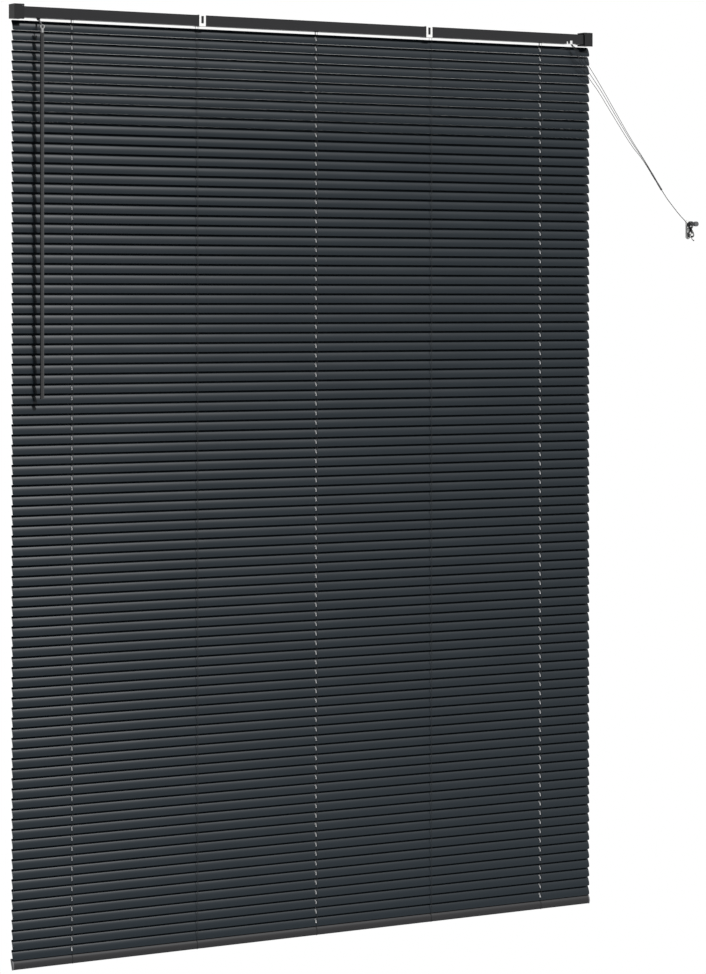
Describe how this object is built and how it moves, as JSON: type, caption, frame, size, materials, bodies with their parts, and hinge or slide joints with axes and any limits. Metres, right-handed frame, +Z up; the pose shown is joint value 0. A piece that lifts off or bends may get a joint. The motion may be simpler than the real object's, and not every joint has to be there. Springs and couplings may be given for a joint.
{
  "type": "venetian blind",
  "caption": "Horizontal-slat blind hung from a headrail in box brackets, tilted by a wand and raised by cords wound on a wall cleat.",
  "frame": {"origin": "centre of the four holes that screw the two end brackets to the wall, on the wall's face", "axes": "+Z up, +Y into the wall, +X to the right as seen from the room"},
  "size_m": [1.9336, 0.0455, 2.2075],
  "materials": {
    "slat": "satin dark blue-grey paint",
    "rail": "satin charcoal paint",
    "bracket": "satin black paint",
    "black_plastic": "matt",
    "pale_plastic": "matt",
    "pale_metal": "satin light grey paint",
    "bright_metal": "bright plated",
    "steel": "bright drawn",
    "cord": "braided"
  },
  "bodies": {
    "blind": {"headrail": "rail", "rail_end_caps": "black_plastic", "end_bracket_left": "bracket", "end_bracket_right": "bracket", "door_pins": "steel", "centre_supports": "pale_metal", "drum_cradles": "pale_plastic", "tilter_housing": "black_plastic", "cord_lock_body": "black_plastic", "cord_lock_clip": "bright_metal", "lift_cords_upper": "cord", "lift_cords_lower": "cord", "lower_slats": "slat", "ladders_upper": "cord", "ladders_lower": "cord", "pull_cord_1": "cord", "pull_cord_2": "cord", "pull_cord_3": "cord", "cord_joiner": "black_plastic", "pull_cord_main": "cord", "cleat_winding": "cord", "cleat_plate": "pale_plastic", "cleat_peg": "black_plastic"},
    "tilt_shaft": {"tilt_rod": "steel", "ladder_drums": "pale_plastic", "tilter_gear": "pale_plastic"},
    "worm": {"tilter_worm": "black_plastic"},
    "hook": {"wand_hook": "pale_plastic"},
    "wand_body": {"wand": "black_plastic"},
    "bottom": {"bottom_rail": "rail", "bottom_rail_caps": "black_plastic", "bottom_rail_plugs": "black_plastic", "lift_knots": "cord"},
    "door_left": {"bracket_door_left": "bracket"},
    "door_right": {"bracket_door_right": "bracket"},
    "pulley": {"cord_lock_pulley": "pale_plastic"},
    "pawl": {"cord_lock_pawl": "steel"},
    "slat_01_body": {"slat_01": "slat"},
    "slat_02_body": {"slat_02": "slat"},
    "slat_03_body": {"slat_03": "slat"},
    "slat_04_body": {"slat_04": "slat"},
    "slat_05_body": {"slat_05": "slat"},
    "slat_06_body": {"slat_06": "slat"},
    "slat_07_body": {"slat_07": "slat"},
    "slat_08_body": {"slat_08": "slat"},
    "slat_09_body": {"slat_09": "slat"},
    "slat_10_body": {"slat_10": "slat"},
    "slat_11_body": {"slat_11": "slat"},
    "slat_12_body": {"slat_12": "slat"},
    "slat_13_body": {"slat_13": "slat"},
    "slat_14_body": {"slat_14": "slat"},
    "slat_15_body": {"slat_15": "slat"},
    "slat_16_body": {"slat_16": "slat"},
    "slat_17_body": {"slat_17": "slat"},
    "slat_18_body": {"slat_18": "slat"},
    "slat_19_body": {"slat_19": "slat"},
    "slat_20_body": {"slat_20": "slat"},
    "slat_21_body": {"slat_21": "slat"},
    "slat_22_body": {"slat_22": "slat"},
    "slat_23_body": {"slat_23": "slat"}
  },
  "joints": [
    {"name": "tilt", "type": "hinge", "parent": "blind", "child": "tilt_shaft", "pos_m": [0, -0.016, -0.001], "axis": [-1, 0, 0], "range_deg": [0, 140], "deforming": ["ladders_upper"]},
    {"name": "worm_turn", "type": "hinge", "parent": "blind", "child": "worm", "pos_m": [-0.7365, -0.01126, -0.00665], "axis": [0, 0.766, 0.6428], "range_deg": [0, 2100]},
    {"name": "hook_swing", "type": "hinge", "parent": "blind", "child": "hook", "pos_m": [-0.7365, -0.04, -0.03077], "axis": [-1, 0, 0], "range_deg": [0, 60]},
    {"name": "wand_turn", "type": "hinge", "parent": "hook", "child": "wand_body", "pos_m": [-0.7365, -0.04, -0.03077], "axis": [0, 0, 1], "range_deg": [0, 2100]},
    {"name": "lift", "type": "slide", "parent": "blind", "child": "bottom", "axis": [0, 0, 1], "range_m": [0, 1.45], "deforming": ["lower_slats", "ladders_lower", "lift_cords_lower"]},
    {"name": "left_door", "type": "hinge", "parent": "blind", "child": "door_left", "pos_m": [-0.79, -0.0313, 0.016], "axis": [-1, 0, 0], "range_deg": [0, 110]},
    {"name": "right_door", "type": "hinge", "parent": "blind", "child": "door_right", "pos_m": [0.79, -0.0313, 0.016], "axis": [-1, 0, 0], "range_deg": [0, 110]},
    {"name": "pulley_spin", "type": "hinge", "parent": "blind", "child": "pulley", "pos_m": [0.739, -0.022, 0.001], "axis": [0, 1, 0], "continuous": true},
    {"name": "pawl_lift", "type": "hinge", "parent": "blind", "child": "pawl", "pos_m": [0.753, -0.022, 0.002], "axis": [0, 1, 0], "range_deg": [0, 30]},
    {"name": "slat_01_turn", "type": "hinge", "parent": "blind", "child": "slat_01_body", "pos_m": [0, -0.016, -0.03], "axis": [-1, 0, 0], "range_deg": [0, 140]},
    {"name": "slat_02_turn", "type": "hinge", "parent": "blind", "child": "slat_02_body", "pos_m": [0, -0.016, -0.0531], "axis": [-1, 0, 0], "range_deg": [0, 140]},
    {"name": "slat_03_turn", "type": "hinge", "parent": "blind", "child": "slat_03_body", "pos_m": [0, -0.016, -0.0762], "axis": [-1, 0, 0], "range_deg": [0, 140]},
    {"name": "slat_04_turn", "type": "hinge", "parent": "blind", "child": "slat_04_body", "pos_m": [0, -0.016, -0.0993], "axis": [-1, 0, 0], "range_deg": [0, 140]},
    {"name": "slat_05_turn", "type": "hinge", "parent": "blind", "child": "slat_05_body", "pos_m": [0, -0.016, -0.1224], "axis": [-1, 0, 0], "range_deg": [0, 140]},
    {"name": "slat_06_turn", "type": "hinge", "parent": "blind", "child": "slat_06_body", "pos_m": [0, -0.016, -0.1455], "axis": [-1, 0, 0], "range_deg": [0, 140]},
    {"name": "slat_07_turn", "type": "hinge", "parent": "blind", "child": "slat_07_body", "pos_m": [0, -0.016, -0.1686], "axis": [-1, 0, 0], "range_deg": [0, 140]},
    {"name": "slat_08_turn", "type": "hinge", "parent": "blind", "child": "slat_08_body", "pos_m": [0, -0.016, -0.1917], "axis": [-1, 0, 0], "range_deg": [0, 140]},
    {"name": "slat_09_turn", "type": "hinge", "parent": "blind", "child": "slat_09_body", "pos_m": [0, -0.016, -0.2148], "axis": [-1, 0, 0], "range_deg": [0, 140]},
    {"name": "slat_10_turn", "type": "hinge", "parent": "blind", "child": "slat_10_body", "pos_m": [0, -0.016, -0.2379], "axis": [-1, 0, 0], "range_deg": [0, 140]},
    {"name": "slat_11_turn", "type": "hinge", "parent": "blind", "child": "slat_11_body", "pos_m": [0, -0.016, -0.261], "axis": [-1, 0, 0], "range_deg": [0, 140]},
    {"name": "slat_12_turn", "type": "hinge", "parent": "blind", "child": "slat_12_body", "pos_m": [0, -0.016, -0.2841], "axis": [-1, 0, 0], "range_deg": [0, 140]},
    {"name": "slat_13_turn", "type": "hinge", "parent": "blind", "child": "slat_13_body", "pos_m": [0, -0.016, -0.3072], "axis": [-1, 0, 0], "range_deg": [0, 140]},
    {"name": "slat_14_turn", "type": "hinge", "parent": "blind", "child": "slat_14_body", "pos_m": [0, -0.016, -0.3303], "axis": [-1, 0, 0], "range_deg": [0, 140]},
    {"name": "slat_15_turn", "type": "hinge", "parent": "blind", "child": "slat_15_body", "pos_m": [0, -0.016, -0.3534], "axis": [-1, 0, 0], "range_deg": [0, 140]},
    {"name": "slat_16_turn", "type": "hinge", "parent": "blind", "child": "slat_16_body", "pos_m": [0, -0.016, -0.3765], "axis": [-1, 0, 0], "range_deg": [0, 140]},
    {"name": "slat_17_turn", "type": "hinge", "parent": "blind", "child": "slat_17_body", "pos_m": [0, -0.016, -0.3996], "axis": [-1, 0, 0], "range_deg": [0, 140]},
    {"name": "slat_18_turn", "type": "hinge", "parent": "blind", "child": "slat_18_body", "pos_m": [0, -0.016, -0.4227], "axis": [-1, 0, 0], "range_deg": [0, 140]},
    {"name": "slat_19_turn", "type": "hinge", "parent": "blind", "child": "slat_19_body", "pos_m": [0, -0.016, -0.4458], "axis": [-1, 0, 0], "range_deg": [0, 140]},
    {"name": "slat_20_turn", "type": "hinge", "parent": "blind", "child": "slat_20_body", "pos_m": [0, -0.016, -0.4689], "axis": [-1, 0, 0], "range_deg": [0, 140]},
    {"name": "slat_21_turn", "type": "hinge", "parent": "blind", "child": "slat_21_body", "pos_m": [0, -0.016, -0.492], "axis": [-1, 0, 0], "range_deg": [0, 140]},
    {"name": "slat_22_turn", "type": "hinge", "parent": "blind", "child": "slat_22_body", "pos_m": [0, -0.016, -0.5151], "axis": [-1, 0, 0], "range_deg": [0, 140]},
    {"name": "slat_23_turn", "type": "hinge", "parent": "blind", "child": "slat_23_body", "pos_m": [0, -0.016, -0.5382], "axis": [-1, 0, 0], "range_deg": [0, 140]}
  ],
  "couplings": [
    {"joint": "worm_turn", "follows": "tilt", "ratio": 15},
    {"joint": "wand_turn", "follows": "tilt", "ratio": 15},
    {"joint": "slat_01_turn", "follows": "tilt", "ratio": 1},
    {"joint": "slat_02_turn", "follows": "tilt", "ratio": 1},
    {"joint": "slat_03_turn", "follows": "tilt", "ratio": 1},
    {"joint": "slat_04_turn", "follows": "tilt", "ratio": 1},
    {"joint": "slat_05_turn", "follows": "tilt", "ratio": 1},
    {"joint": "slat_06_turn", "follows": "tilt", "ratio": 1},
    {"joint": "slat_07_turn", "follows": "tilt", "ratio": 1},
    {"joint": "slat_08_turn", "follows": "tilt", "ratio": 1},
    {"joint": "slat_09_turn", "follows": "tilt", "ratio": 1},
    {"joint": "slat_10_turn", "follows": "tilt", "ratio": 1},
    {"joint": "slat_11_turn", "follows": "tilt", "ratio": 1},
    {"joint": "slat_12_turn", "follows": "tilt", "ratio": 1},
    {"joint": "slat_13_turn", "follows": "tilt", "ratio": 1},
    {"joint": "slat_14_turn", "follows": "tilt", "ratio": 1},
    {"joint": "slat_15_turn", "follows": "tilt", "ratio": 1},
    {"joint": "slat_16_turn", "follows": "tilt", "ratio": 1},
    {"joint": "slat_17_turn", "follows": "tilt", "ratio": 1},
    {"joint": "slat_18_turn", "follows": "tilt", "ratio": 1},
    {"joint": "slat_19_turn", "follows": "tilt", "ratio": 1},
    {"joint": "slat_20_turn", "follows": "tilt", "ratio": 1},
    {"joint": "slat_21_turn", "follows": "tilt", "ratio": 1},
    {"joint": "slat_22_turn", "follows": "tilt", "ratio": 1},
    {"joint": "slat_23_turn", "follows": "tilt", "ratio": 1}
  ]
}
